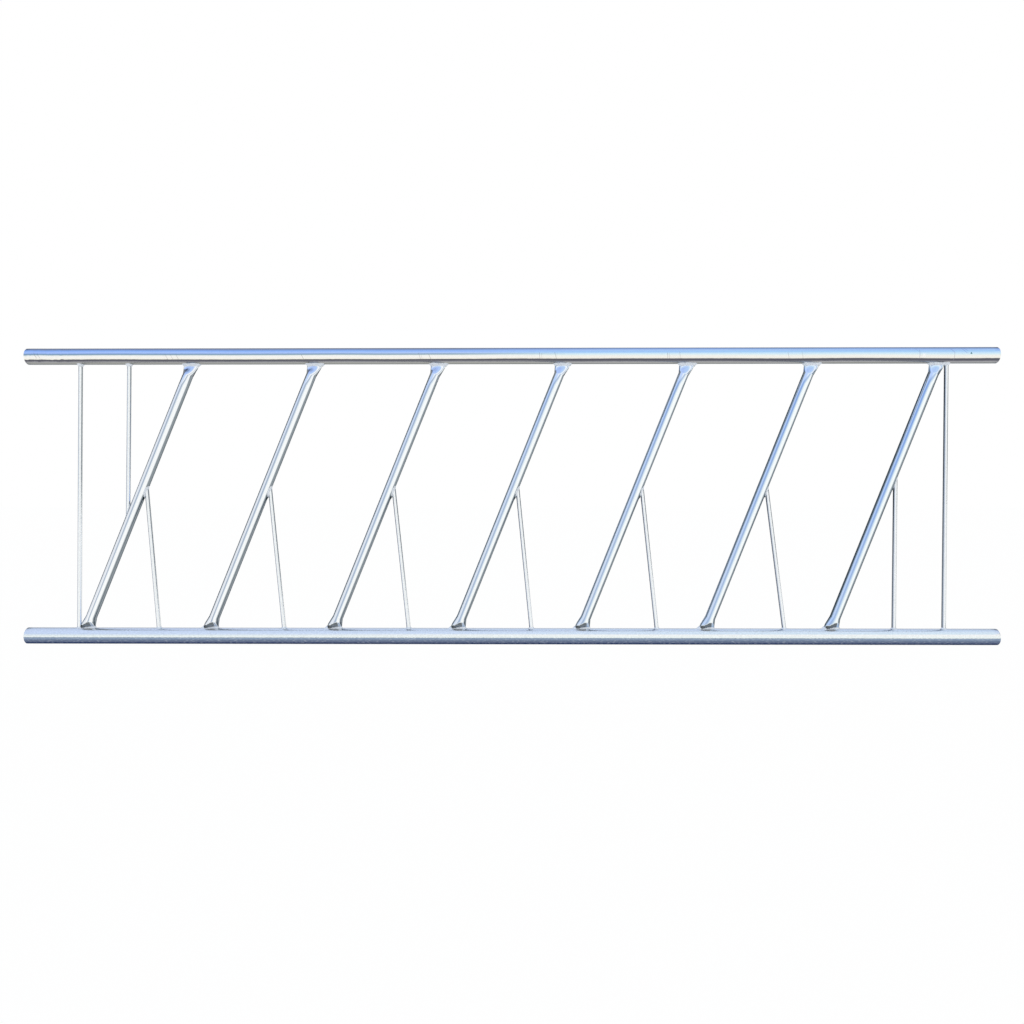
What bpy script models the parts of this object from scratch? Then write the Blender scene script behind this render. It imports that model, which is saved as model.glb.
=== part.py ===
"""Slant bar feeder panel: the welded, hot-dip galvanised barrier in front of a cattle feed trough.

Two round rails carry seven tubes that lean to the right. Each tube is pressed flat at both ends and
cut level, so that it sits on the rails' crowns. Round rods close the narrow places: one near each end,
one short rod in the upper left corner, and a brace from the middle of every slant bar down to the
bottom rail. Every joint is a weld bead, modelled as a piece of its own.

Lengths are in metres. X runs along the panel, Z is up and the panel lies in the plane Y = 0. The
origin is the middle of the bottom rail's left end.
"""

import math

import bmesh
import bpy
from mathutils import Matrix, Vector

# Rails
LENGTH = 3.048
RAIL_SPACING = 0.8826
RAIL_DIAMETER = 0.0508
RAIL_WALL = 0.0028

# Slant bars
SLANT_COUNT = 7
SLANT_DIAMETER = 0.03175
SLANT_WALL = 0.0024
SLANT_LEAN = math.radians(21.85)
FIRST_FOOT_BITE = 0.0040
LAST_HEAD_BITE = 0.0010

# Pressed ends of the slant bars
PINCH_REACH = 0.036
PINCH_RAMP = 0.029
PINCH_SLIT = 0.0022
PINCH_DRIFT = 0.0019

# Rods
ROD_DIAMETER = 0.0127
LEFT_ROD_INSET = 0.1620
LEFT_ROD_RUN = 0.0043
RIGHT_ROD_INSET = 0.1637
RIGHT_ROD_RUN = 0.0090
CORNER_ROD_HEAD = 0.3212
CORNER_ROD_JOIN = 0.349
BRACE_SPACINGS = (0.228, 0.234, 0.237, 0.233, 0.236, 0.245, 0.197)
BRACE_JOINS = (0.491, 0.491, 0.491, 0.491, 0.491, 0.491, 0.530)

# Welds and the clearance between touching pieces
TUBE_BEAD = 0.0048
ROD_BEAD = 0.0040
CLEARANCE = 0.0003
MERGE_REACH = 0.00005

# Facets
RAIL_SIDES = 40
SLANT_SIDES = 20
ROD_SIDES = 12
RAMP_STEPS = 3
BEAD_STEPS = 2
BEAD_TURN = 0.25
CUTTER_OVERRUN = 0.05

# Sizes that follow from the ones above
RAIL_RADIUS = RAIL_DIAMETER / 2
SLANT_RADIUS = SLANT_DIAMETER / 2
ROD_RADIUS = ROD_DIAMETER / 2
SLANT_SLOPE = math.tan(SLANT_LEAN)
SLANT_SPAN = RAIL_SPACING / math.cos(SLANT_LEAN)
PINCH_START = RAIL_RADIUS / math.cos(SLANT_LEAN) + PINCH_REACH
FLAT_DEPTH = SLANT_WALL + PINCH_SLIT / 2

ALONG = Vector((1, 0, 0))
BACK = Vector((0, 1, 0))
UP = Vector((0, 0, 1))
BOTTOM = Vector((0, 0, 0))
TOP = Vector((0, 0, RAIL_SPACING))
LEAN = Vector((math.sin(SLANT_LEAN), 0, math.cos(SLANT_LEAN)))
ACROSS = Vector((math.cos(SLANT_LEAN), 0, -math.sin(SLANT_LEAN)))


def clear_scene():
    """Remove the startup objects."""
    for obj in list(bpy.data.objects):
        bpy.data.objects.remove(obj)


def new_collection(name):
    """Make a collection in the scene."""
    collection = bpy.data.collections.new(name)
    bpy.context.scene.collection.children.link(collection)
    return collection


def zinc(name, colour, roughness):
    """Hot-dip zinc of one brightness."""
    material = bpy.data.materials.new(name)
    material.use_nodes = True
    shader = material.node_tree.nodes["Principled BSDF"]
    shader.inputs["Base Color"].default_value = (*colour, 1)
    shader.inputs["Metallic"].default_value = 1
    shader.inputs["Roughness"].default_value = roughness
    return material


def new_object(name, mesh, collection, at=(0, 0, 0)):
    """Link a mesh as an object at a place."""
    obj = bpy.data.objects.new(name, mesh)
    obj.location = at
    collection.objects.link(obj)
    return obj


def as_cutter(obj):
    """Show a helper as wire only, and keep it out of renders."""
    obj.hide_render = True
    obj.display_type = "WIRE"
    return obj


def cut(obj, cutter, solver):
    """Take a helper's shape away from an object."""
    modifier = obj.modifiers.new("clear " + cutter.name, "BOOLEAN")
    modifier.operation = "DIFFERENCE"
    modifier.solver = solver
    modifier.object = cutter


def merge_crumbs(obj):
    """Merge the corners that the cuts leave next to each other."""
    modifier = obj.modifiers.new("merge crumbs", "WELD")
    modifier.merge_threshold = MERGE_REACH


def add_wall(obj, thickness):
    """Give an open surface its wall, on the inside."""
    wall = obj.modifiers.new("wall", "SOLIDIFY")
    wall.thickness = thickness
    wall.offset = -1
    wall.use_even_offset = True


def loft(rings, capped):
    """Join rings of equal counts with faces that point outwards, and close the ends where asked.

    Twisted faces are split along the same corners each time, so that a piece and its room stay parallel.
    """
    form = bmesh.new()
    rows = [[form.verts.new(point) for point in ring] for ring in rings]
    count = len(rows[0])
    for lower, upper in zip(rows, rows[1:]):
        for i in range(count):
            j = (i + 1) % count
            form.faces.new((lower[i], lower[j], upper[j], upper[i]))
    bmesh.ops.triangulate(form, faces=form.faces, quad_method="FIXED")
    if capped:
        form.faces.new(rows[0])
        form.faces.new(rows[-1])
    bmesh.ops.recalc_face_normals(form, faces=form.faces)
    mesh = bpy.data.meshes.new("loft")
    form.to_mesh(mesh)
    form.free()
    return mesh


def slab(low, high):
    """Block over the panel's whole length, between two heights."""
    form = bmesh.new()
    size = Matrix.Diagonal((LENGTH, SLANT_DIAMETER * 2, high - low, 1))
    middle = Matrix.Translation((LENGTH / 2, 0, (low + high) / 2))
    bmesh.ops.create_cube(form, size=1, matrix=middle @ size)
    mesh = bpy.data.meshes.new("slab")
    form.to_mesh(mesh)
    form.free()
    return mesh


def round_bar(radius, start, end, sides, first_edge, capped):
    """Cylinder between two points, as a mesh in world space, with an edge at an angle from the front."""
    form = bmesh.new()
    run = end - start
    turn = run.to_track_quat("Z", "Y").to_matrix().to_4x4() @ Matrix.Rotation(first_edge, 4, "Z")
    bmesh.ops.create_cone(
        form, cap_ends=capped, segments=sides, radius1=radius, radius2=radius, depth=run.length,
        matrix=Matrix.Translation((start + end) / 2) @ turn,
    )
    mesh = bpy.data.meshes.new("round bar")
    form.to_mesh(mesh)
    form.free()
    return mesh


def oval_point(half_width, half_depth, share):
    """Point at this share of the way round two half circles joined by flats, from the right-hand tip."""
    flat = half_width - half_depth
    arc = math.pi / 2 * half_depth
    quadrant, part = divmod(4 * share, 1)
    walked = (part if quadrant % 2 == 0 else 1 - part) * (arc + flat)
    if walked < arc:
        angle = walked / half_depth
        x = flat + half_depth * math.cos(angle)
        y = half_depth * math.sin(angle)
    else:
        x = flat + arc - walked
        y = half_depth
    return (x if quadrant in (0, 3) else -x), (y if quadrant < 2 else -y)


def pressed_section(along):
    """Half width, half depth and sideways drift of a slant bar at a distance along its axis.

    The wall keeps its length round the tube as it is pressed, so the flat is wider than the tube was.
    """
    lower = along < SLANT_SPAN / 2
    to_end = along if lower else SLANT_SPAN - along
    pressed = min(max((PINCH_START - to_end) / PINCH_RAMP, 0), 1)
    half_depth = SLANT_RADIUS - pressed * (SLANT_RADIUS - FLAT_DEPTH)
    half_width = half_depth + math.pi / 2 * (SLANT_RADIUS - half_depth)
    drift = pressed * PINCH_DRIFT * (1 if lower else -1)
    return half_width, half_depth, drift


def slant_stations():
    """Distances along a slant bar's axis where its section changes, from one rail's axis to the other's."""
    ramp = [PINCH_START - PINCH_RAMP * i / RAMP_STEPS for i in range(RAMP_STEPS, -1, -1)]
    lower = [0] + ramp
    return lower + [SLANT_SPAN - along for along in reversed(lower)]


def slant_rings(growth):
    """Rings of a slant bar's outside, grown by a clearance. Its axis meets the bottom rail's at the origin."""
    rings = []
    for along in slant_stations():
        half_width, half_depth, drift = pressed_section(along)
        ring = []
        for i in range(SLANT_SIDES):
            x, y = oval_point(half_width + growth, half_depth + growth, i / SLANT_SIDES)
            ring.append(LEAN * along + ACROSS * (x + drift) + BACK * y)
        rings.append(ring)
    return rings


def footprint(height):
    """Middle, half width and half depth of a slant bar where a level plane cuts it."""
    rings = slant_rings(0)
    cut_points = []
    for i in range(SLANT_SIDES):
        for lower, upper in zip(rings, rings[1:]):
            low, high = lower[i], upper[i]
            if low.z <= height < high.z:
                cut_points.append(low.lerp(high, (height - low.z) / (high.z - low.z)))
    left = min(point.x for point in cut_points)
    right = max(point.x for point in cut_points)
    half_depth = max(point.y for point in cut_points)
    return (left + right) / 2, (right - left) / 2, half_depth


def slant_feet():
    """Where the slant bars' axes cross the bottom rail's, in even steps.

    On the rail's crown the first foot reaches a little into the left end rod's place, which is taken
    out of it. The last head does the same to the right end rod, on the top rail.
    """
    middle, half_width, _ = footprint(RAIL_RADIUS)
    reach = ROD_RADIUS + half_width - middle
    first = LEFT_ROD_INSET + reach - FIRST_FOOT_BITE
    last_head = LENGTH - RIGHT_ROD_INSET + RIGHT_ROD_RUN - reach + LAST_HEAD_BITE
    pitch = (last_head - RAIL_SPACING * SLANT_SLOPE - first) / (SLANT_COUNT - 1)
    return [first + pitch * i for i in range(SLANT_COUNT)]


def distance_to_tube(point, direction, tube_at, tube_along, tube_radius):
    """How far a straight line runs from a point before it enters a tube."""
    offset = point - tube_at
    offset -= offset.dot(tube_along) * tube_along
    heading = direction - direction.dot(tube_along) * tube_along
    square = heading.length_squared
    middle = offset.dot(heading)
    inside = middle * middle - square * (offset.length_squared - tube_radius * tube_radius)
    return (-middle - math.sqrt(inside)) / square


def bead_mesh(at, heading, half_width, half_depth, tube, leg, sides):
    """Weld bead, not yet hollowed out, round the end of a bar that runs in a heading onto a tube.

    Its rings follow the tube's surface: one sunk into the tube, then a quarter round up the bar. They
    are turned by part of a step, so that no edge of the bead lies along one of the bar's or the tube's.
    """
    right = BACK.cross(heading).normalized()
    steps = [math.pi / 2 * i / BEAD_STEPS for i in range(BEAD_STEPS + 1)]
    profile = [(leg, -leg)] + [(leg * math.cos(angle), leg * math.sin(angle)) for angle in steps]
    rings = []
    for growth, lift in profile:
        ring = []
        for i in range(sides):
            x, y = oval_point(half_width + growth, half_depth + growth, (i + BEAD_TURN) / sides)
            point = at + right * x + BACK * y
            point += heading * (distance_to_tube(point, heading, *tube) - lift)
            ring.append(point)
        rings.append(ring)
    return loft(rings, capped=True)


class Panel:
    """Builds the panel's pieces, and keeps what later pieces are fitted to."""

    def __init__(self):
        """Make the collections, the finishes and the empty that carries the pieces."""
        self.pieces = new_collection("slant_bar_feeder_panel")
        self.cutters = new_collection("cutters")
        self.carrier = bpy.data.objects.new("panel_carrier", None)
        self.pieces.objects.link(self.carrier)
        self.bright = zinc("bright zinc on tube", (0.72, 0.77, 0.84), 0.22)
        self.grained = zinc("grained zinc on rod", (0.66, 0.70, 0.77), 0.38)
        self.bead = zinc("zinc over weld", (0.78, 0.80, 0.83), 0.34)
        self.tubes = {}
        self.room = {}
        self.fitted_to = {}

    def add(self, name, mesh, material, at=(0, 0, 0), fitted_to=()):
        """Add a piece of the panel, and list the pieces that it is cut to clear."""
        if not mesh.materials:
            mesh.materials.append(material)
        mesh.shade_smooth()
        mesh.set_sharp_from_angle(angle=math.radians(30))
        obj = new_object(name, mesh, self.pieces, at)
        obj.parent = self.carrier
        self.fitted_to[name] = list(fitted_to)
        return obj

    def add_room(self, name, mesh, at=(0, 0, 0)):
        """Add the room that a piece takes up with its clearance, for the pieces fitted to it."""
        self.room[name] = as_cutter(new_object("room for " + name, mesh, self.cutters, at))

    def add_rail(self, name, at):
        """A round tube with open ends, cut square."""
        end = at + ALONG * LENGTH
        mesh = round_bar(RAIL_RADIUS, at, end, RAIL_SIDES, 0, capped=False)
        rail = self.add(name, mesh, self.bright)
        add_wall(rail, RAIL_WALL)
        overrun = ALONG * CUTTER_OVERRUN
        room = round_bar(RAIL_RADIUS + CLEARANCE, at - overrun, end + overrun, RAIL_SIDES, 0, capped=True)
        self.add_room(name, room)
        self.tubes[name] = (at, ALONG, RAIL_RADIUS)

    def add_slant_bars(self):
        """Alike tubes, pressed flat at both ends and cut level there."""
        self.add_level_cuts()
        bar = loft(slant_rings(0), capped=False)
        room = loft(slant_rings(CLEARANCE), capped=True)
        for i, inset in enumerate(slant_feet()):
            name = f"slant_bar_{i + 1}"
            foot = BOTTOM + ALONG * inset
            slant = self.add(name, bar, self.bright, foot, ["level foot cut", "level head cut"])
            add_wall(slant, SLANT_WALL)
            self.add_room(name, room, foot)
            self.tubes[name] = (foot, LEAN, SLANT_RADIUS)

    def add_level_cuts(self):
        """Blocks that cut the slant bars level, just clear of the rails' crowns."""
        reach = RAIL_DIAMETER
        low = RAIL_RADIUS + CLEARANCE
        high = RAIL_SPACING - low
        self.add_room("level foot cut", slab(low - reach, low))
        self.add_room("level head cut", slab(high, high + reach))

    def add_slant_beads(self):
        """The beads round the slant bars' feet and heads."""
        middle, half_width, half_depth = footprint(RAIL_RADIUS)
        foot = Vector((middle, 0, RAIL_DIAMETER))
        head = Vector((RAIL_SPACING * SLANT_SLOPE, 0, RAIL_SPACING)) - foot
        for end, at, heading, rail in (("foot", foot, -UP, "bottom_rail"), ("head", head, UP, "top_rail")):
            size = (at, heading, half_width, half_depth, self.tubes[rail])
            mesh = bead_mesh(*size, TUBE_BEAD, SLANT_SIDES)
            room = bead_mesh(*size, TUBE_BEAD + CLEARANCE, SLANT_SIDES)
            for i in range(SLANT_COUNT):
                slant = f"slant_bar_{i + 1}"
                name = f"weld_{slant}_{end}"
                stands = self.tubes[slant][0]
                self.add(name, mesh, self.bead, stands, [rail, slant])
                self.add_room(name, room, stands)

    def add_rod(self, name, foot, head, foot_on, head_on):
        """A solid round rod between two axes, coped to fit what it stands on and reaches up to."""
        half_step = math.pi / ROD_SIDES
        rod = round_bar(ROD_RADIUS, foot, head, ROD_SIDES, half_step, capped=True)
        room = round_bar(ROD_RADIUS + CLEARANCE, foot, head, ROD_SIDES, half_step, capped=True)
        self.add(name, rod, self.grained, fitted_to=[foot_on, head_on])
        self.add_room(name, room)
        self.add_rod_bead(name, "foot", head, foot, foot_on)
        self.add_rod_bead(name, "head", foot, head, head_on)

    def add_rod_bead(self, rod, end, start, stop, tube):
        """The bead round one end of a rod."""
        heading = (stop - start).normalized()
        mesh = bead_mesh(start, heading, ROD_RADIUS, ROD_RADIUS, self.tubes[tube], ROD_BEAD, ROD_SIDES)
        self.add(f"weld_{rod}_{end}", mesh, self.bead, fitted_to=[tube, rod])

    def axis_point(self, slant, height):
        """The point of a slant bar's axis at a height."""
        foot, lean, _ = self.tubes[slant]
        return foot + lean * (height / lean.z)

    def add_end_rods(self):
        """The rods that close the panel near its two ends."""
        left = BOTTOM + ALONG * LEFT_ROD_INSET
        right = BOTTOM + ALONG * (LENGTH - RIGHT_ROD_INSET)
        self.add_rod("left_end_rod", left, TOP + left + ALONG * LEFT_ROD_RUN, "bottom_rail", "top_rail")
        self.add_rod("right_end_rod", right, TOP + right + ALONG * RIGHT_ROD_RUN, "bottom_rail", "top_rail")

    def add_corner_rod(self):
        """The short rod from the top rail down to the first slant bar."""
        join = self.axis_point("slant_bar_1", CORNER_ROD_JOIN)
        self.add_rod("corner_rod", join, TOP + ALONG * CORNER_ROD_HEAD, "slant_bar_1", "top_rail")

    def add_braces(self):
        """The rods from the middle of the slant bars down to the bottom rail."""
        for i, (spacing, height) in enumerate(zip(BRACE_SPACINGS, BRACE_JOINS)):
            slant = f"slant_bar_{i + 1}"
            join = self.axis_point(slant, height)
            stand = self.axis_point(slant, RAIL_RADIUS) + ALONG * spacing
            foot = stand + (stand - join) * (RAIL_RADIUS / (join.z - stand.z))
            self.add_rod(f"brace_rod_{i + 1}", foot, join, "bottom_rail", slant)

    def clear_neighbours(self):
        """Keep the end rods' joints clear of the slant bars that stand beside them."""
        last = f"slant_bar_{SLANT_COUNT}"
        for slant, rod, end in (("slant_bar_1", "left_end_rod", "foot"), (last, "right_end_rod", "head")):
            slant_bead = f"weld_{slant}_{end}"
            self.fitted_to[slant] += [rod]
            self.fitted_to[slant_bead] += [rod]
            self.fitted_to[f"weld_{rod}_{end}"] += [slant, slant_bead]

    def fit(self):
        """Cut every piece to clear what it is fitted to.

        Where three or more pieces crowd one bead, only the solver for closed meshes keeps it whole.
        """
        for name, others in self.fitted_to.items():
            piece = self.pieces.objects[name]
            solver = "MANIFOLD" if len(others) > 2 else "EXACT"
            for other in others:
                cut(piece, self.room[other], solver)
            merge_crumbs(piece)


def build():
    """Model the whole panel."""
    clear_scene()
    panel = Panel()
    panel.add_rail("bottom_rail", BOTTOM)
    panel.add_rail("top_rail", TOP)
    panel.add_slant_bars()
    panel.add_slant_beads()
    panel.add_end_rods()
    panel.add_corner_rod()
    panel.add_braces()
    panel.clear_neighbours()
    panel.fit()


build()
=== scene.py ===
"""Looks of the slant bar feeder panel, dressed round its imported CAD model.

The panel is a hot-dip galvanised barrier: two round rails, seven slanting tubes pressed flat at both
ends, ten round rods and a weld bead round the end of every bar. Each piece is modelled again with its
rounded walls, pressed ends, rippled welds and zinc finish, and stands for the CAD piece of its name.

Lengths are in metres, with X along the panel, Y to the back and Z up. The origin is the middle of the
bottom rail's left end.
"""

from __future__ import annotations

import logging
import math
from collections.abc import Callable, Iterator
from contextlib import contextmanager
from dataclasses import dataclass, field
from enum import Enum
from functools import partial

import bpy
from mathutils import Matrix, Vector, noise

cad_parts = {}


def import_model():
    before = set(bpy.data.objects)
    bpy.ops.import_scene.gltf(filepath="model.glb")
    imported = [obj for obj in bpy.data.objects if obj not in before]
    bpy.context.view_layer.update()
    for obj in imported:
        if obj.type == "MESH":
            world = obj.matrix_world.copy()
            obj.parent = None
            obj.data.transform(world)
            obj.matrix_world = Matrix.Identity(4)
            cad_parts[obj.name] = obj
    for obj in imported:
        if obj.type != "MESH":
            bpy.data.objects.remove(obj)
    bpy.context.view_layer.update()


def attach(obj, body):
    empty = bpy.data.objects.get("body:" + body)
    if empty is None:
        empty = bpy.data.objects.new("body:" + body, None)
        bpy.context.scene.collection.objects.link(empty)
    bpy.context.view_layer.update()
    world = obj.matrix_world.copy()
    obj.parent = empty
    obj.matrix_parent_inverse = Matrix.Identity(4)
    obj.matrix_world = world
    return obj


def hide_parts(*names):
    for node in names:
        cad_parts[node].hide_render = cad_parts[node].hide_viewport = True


LOG = logging.getLogger("feeder_panel")
BODY = "root"
# Name of the attribute by which each finish paints its reflections and shade into its colour.
FACING = "facing_down"
ALONG = Vector((1, 0, 0))
BACK = Vector((0, 1, 0))
UP = Vector((0, 0, 1))

Ramp = tuple[tuple[float, str], ...]
Measure = Callable[[Vector, Vector], float]
Piece = bpy.types.Object
Node = bpy.types.Node
Socket = bpy.types.NodeSocket
Tree = bpy.types.NodeTree
Inputs = dict[str | int, object]


class Slot(Enum):
    """The record's material slots."""

    TUBE = "tube_zinc"
    ROD = "rod_zinc"
    WELD = "weld_zinc"


@dataclass(frozen=True)
class Tube:
    """A round bar's axis and radius, for what is fitted to it."""

    at: Vector
    along: Vector
    radius: float

    def distance(self, point: Vector, heading: Vector) -> float:
        """Measure how far a straight line runs before it enters the tube.

        Args:
            point: Start of the line, outside the tube.
            heading: Unit vector of the line.

        Returns:
            The distance from the point to the tube's surface.
        """
        offset = point - self.at
        offset -= offset.dot(self.along) * self.along
        level = heading - heading.dot(self.along) * self.along
        square = level.length_squared
        middle = offset.dot(level)
        inside = middle * middle - square * (offset.length_squared - self.radius * self.radius)
        return (-middle - math.sqrt(max(inside, 0))) / square


@dataclass(frozen=True)
class Layout:
    """Sizes that the panel's pieces share, the same as the CAD model's."""

    length: float = 3.048
    rail_spacing: float = 0.8826
    rail_radius: float = 0.0254
    rail_wall: float = 0.0028
    slant_count: int = 7
    slant_radius: float = 0.015875
    slant_wall: float = 0.0024
    lean: float = math.radians(21.85)
    first_foot: float = 0.17683
    slant_pitch: float = 0.390788
    rod_radius: float = 0.00635

    @property
    def lean_axis(self) -> Vector:
        """Direction of the slant bars, upwards."""
        return Vector((math.sin(self.lean), 0, math.cos(self.lean)))

    @property
    def across(self) -> Vector:
        """Direction square to the slant bars in the panel's plane, to the right."""
        return Vector((math.cos(self.lean), 0, -math.sin(self.lean)))

    @property
    def slant_span(self) -> float:
        """Length of a slant bar's axis from rail axis to rail axis."""
        return self.rail_spacing / math.cos(self.lean)

    @property
    def bottom_rail(self) -> Tube:
        """The bottom rail."""
        return Tube(Vector((0, 0, 0)), ALONG, self.rail_radius)

    @property
    def top_rail(self) -> Tube:
        """The top rail."""
        return Tube(UP * self.rail_spacing, ALONG, self.rail_radius)

    def foot(self, index: int) -> Vector:
        """Where a slant bar's axis crosses the bottom rail's."""
        return ALONG * (self.first_foot + self.slant_pitch * index)

    def slant(self, index: int) -> Tube:
        """A slant bar as a round tube."""
        return Tube(self.foot(index), self.lean_axis, self.slant_radius)

    def axis_point(self, index: int, height: float) -> Vector:
        """The point of a slant bar's axis at a height."""
        return self.foot(index) + self.lean_axis * (height / math.cos(self.lean))


def between(value: float, start: float, end: float) -> float:
    """Say how far a value has come from a start to an end, from 0 to 1."""
    return min(max((value - start) / (end - start), 0), 1)


def linear(colour: str) -> tuple[float, float, float, float]:
    """Turn an sRGB hex colour into linear RGBA.

    Args:
        colour: Six hex digits after a hash sign.

    Returns:
        The linear colour, opaque.
    """
    channels = [int(colour[i : i + 2], 16) / 255 for i in (1, 3, 5)]
    red, green, blue = (c / 12.92 if c <= 0.04045 else ((c + 0.055) / 1.055) ** 2.4 for c in channels)
    return red, green, blue, 1.0


def add_node(tree: Tree, kind: str, inputs: Inputs | None = None, **settings: object) -> Node:
    """Add a node with its settings and what its inputs get.

    Args:
        tree: Node tree that gets the node.
        kind: Blender's name for the kind of node, after ShaderNode.
        inputs: By name or number, each input's value, or the socket or node (its first output) that feeds it.
        settings: Properties of the node itself.

    Returns:
        The new node.
    """
    node = tree.nodes.new(f"ShaderNode{kind}")
    for name, setting in settings.items():
        setattr(node, name, setting)
    for socket, source in (inputs or {}).items():
        if isinstance(source, Node):
            source = source.outputs[0]
        if isinstance(source, Socket):
            tree.links.new(source, node.inputs[socket])
        else:
            node.inputs[socket].default_value = source
    return node


def set_ramp(node: Node, stops: Ramp) -> Node:
    """Give a colour ramp its stops.

    Args:
        node: The colour ramp node.
        stops: Positions from 0 to 1 with their sRGB hex colours.

    Returns:
        The same node.
    """
    elements = node.color_ramp.elements
    while len(elements) > 1:
        elements.remove(elements[-1])
    elements[0].position, elements[0].color = stops[0][0], linear(stops[0][1])
    for position, colour in stops[1:]:
        elements.new(position).color = linear(colour)
    return node


def blend_ramps(tree: Tree, factor: Node | Socket, share: Node, *ramps: Ramp) -> Socket:
    """Colour by the first of two ramps, which gives way to the last as far as the share says."""
    first, last = (set_ramp(add_node(tree, "ValToRGB", {"Fac": factor}), stops) for stops in ramps)
    return add_node(tree, "Mix", {0: share, 6: first, 7: last}, data_type="RGBA").outputs[2]


def empty_tree(owner: bpy.types.Material | bpy.types.World) -> Tree:
    """Empty the node tree of a material or world.

    Args:
        owner: The material or world.

    Returns:
        Its node tree.
    """
    owner.use_nodes = True
    owner.node_tree.nodes.clear()
    return owner.node_tree


def select_only(obj: Piece) -> None:
    """Select an object alone.

    Args:
        obj: The object, which also becomes the active one.
    """
    bpy.ops.object.select_all(action="DESELECT")
    obj.select_set(True)
    bpy.context.view_layer.objects.active = obj


@contextmanager
def editing(obj: Piece, wanted: Callable[[Vector, Vector], bool] | None = None) -> Iterator[None]:
    """Edit an object's mesh with all of it, or only some of its edges, selected at first.

    Args:
        obj: Mesh object to edit.
        wanted: Says for an edge's two ends whether it is selected.

    Yields:
        Nothing; edit mode ends with the block.
    """
    select_only(obj)
    bpy.ops.object.mode_set(mode="EDIT")
    bpy.ops.mesh.select_all(action="DESELECT" if wanted else "SELECT")
    if wanted:
        bpy.ops.mesh.select_mode(type="EDGE")
        bpy.ops.object.mode_set(mode="OBJECT")
        mesh = obj.data
        for edge in mesh.edges:
            edge.select = wanted(*(mesh.vertices[i].co for i in edge.vertices))
        bpy.ops.object.mode_set(mode="EDIT")
    yield
    bpy.ops.object.mode_set(mode="OBJECT")


def open_cylinder(name: str, radius: float, start: Vector, end: Vector, sides: int) -> Piece:
    """Add an open cylinder between two points, with its place in its mesh.

    Args:
        name: Name of the new object.
        radius: Radius of its corners.
        start: Middle of its first end.
        end: Middle of its last end.
        sides: Number of sides.

    Returns:
        The new object.
    """
    run = end - start
    bpy.ops.object.select_all(action="DESELECT")
    bpy.ops.mesh.primitive_cylinder_add(
        vertices=sides, radius=radius, depth=run.length, end_fill_type="NOTHING",
        location=(start + end) / 2, rotation=run.to_track_quat("Z", "Y").to_euler(),
    )
    obj = bpy.context.object
    obj.name = name
    bpy.ops.object.transform_apply(location=True, rotation=True, scale=True)
    return obj


def add_modifier(obj: Piece, kind: str, **settings: object) -> None:
    """Add a modifier to an object and apply it.

    Args:
        obj: Mesh object.
        kind: Blender's name for the kind of modifier.
        settings: Properties of the modifier.
    """
    modifier = obj.modifiers.new(kind.lower(), kind)
    for name, setting in settings.items():
        setattr(modifier, name, setting)
    select_only(obj)
    bpy.ops.object.modifier_apply(modifier=modifier.name)


def ripple(obj: Piece, spacing: float, depth: float) -> None:
    """Press slight hollows into a surface, never proud of it.

    Args:
        obj: Mesh object.
        spacing: Distance between hollows.
        depth: Depth of the deepest ones.
    """
    texture = bpy.data.textures.new("ripple", "CLOUDS")
    texture.noise_scale = spacing
    texture.noise_depth = 1
    add_modifier(
        obj, "DISPLACE", texture=texture, texture_coords="GLOBAL", direction="NORMAL", strength=depth,
        mid_level=1.0,
    )


def smooth(obj: Piece, degrees: float = 40) -> None:
    """Shade a piece smooth up to an angle."""
    select_only(obj)
    bpy.ops.object.shade_smooth_by_angle(angle=math.radians(degrees))


def straight_down(place: Vector, normal: Vector) -> float:
    """Measure how far a normal points down."""
    return -normal.z


@dataclass(frozen=True)
class RailMark:
    """A thin line of colour drawn round a rail, at a distance along it and a height."""

    at: float
    lean: float
    width: float
    middle: float
    reach: float
    colour: str
    strength: float

    def draw(self, tree: Tree, parts: Node, colour: Socket) -> Socket:
        """Draw the line over a colour.

        Args:
            tree: The material's nodes.
            parts: Object coordinates, apart.
            colour: The colour under the line.

        Returns:
            The colour with the line on it.
        """
        along, _, up = parts.outputs
        crossing = self.at + self.lean * self.middle
        square = add_node(tree, "Math", {0: up, 1: self.lean, 2: along}, operation="MULTIPLY_ADD")
        line = add_node(tree, "Math", {0: square, 1: crossing, 2: self.width / 2}, operation="COMPARE")
        height = add_node(tree, "Math", {0: up, 1: self.middle, 2: self.reach}, operation="COMPARE")
        drawn = add_node(tree, "Math", {0: line, 1: height}, operation="MULTIPLY")
        share = add_node(tree, "Math", {0: drawn, 1: self.strength}, operation="MULTIPLY")
        mark = linear(self.colour)
        return add_node(tree, "Mix", {0: share, 6: colour, 7: mark}, data_type="RGBA").outputs[2]


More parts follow.
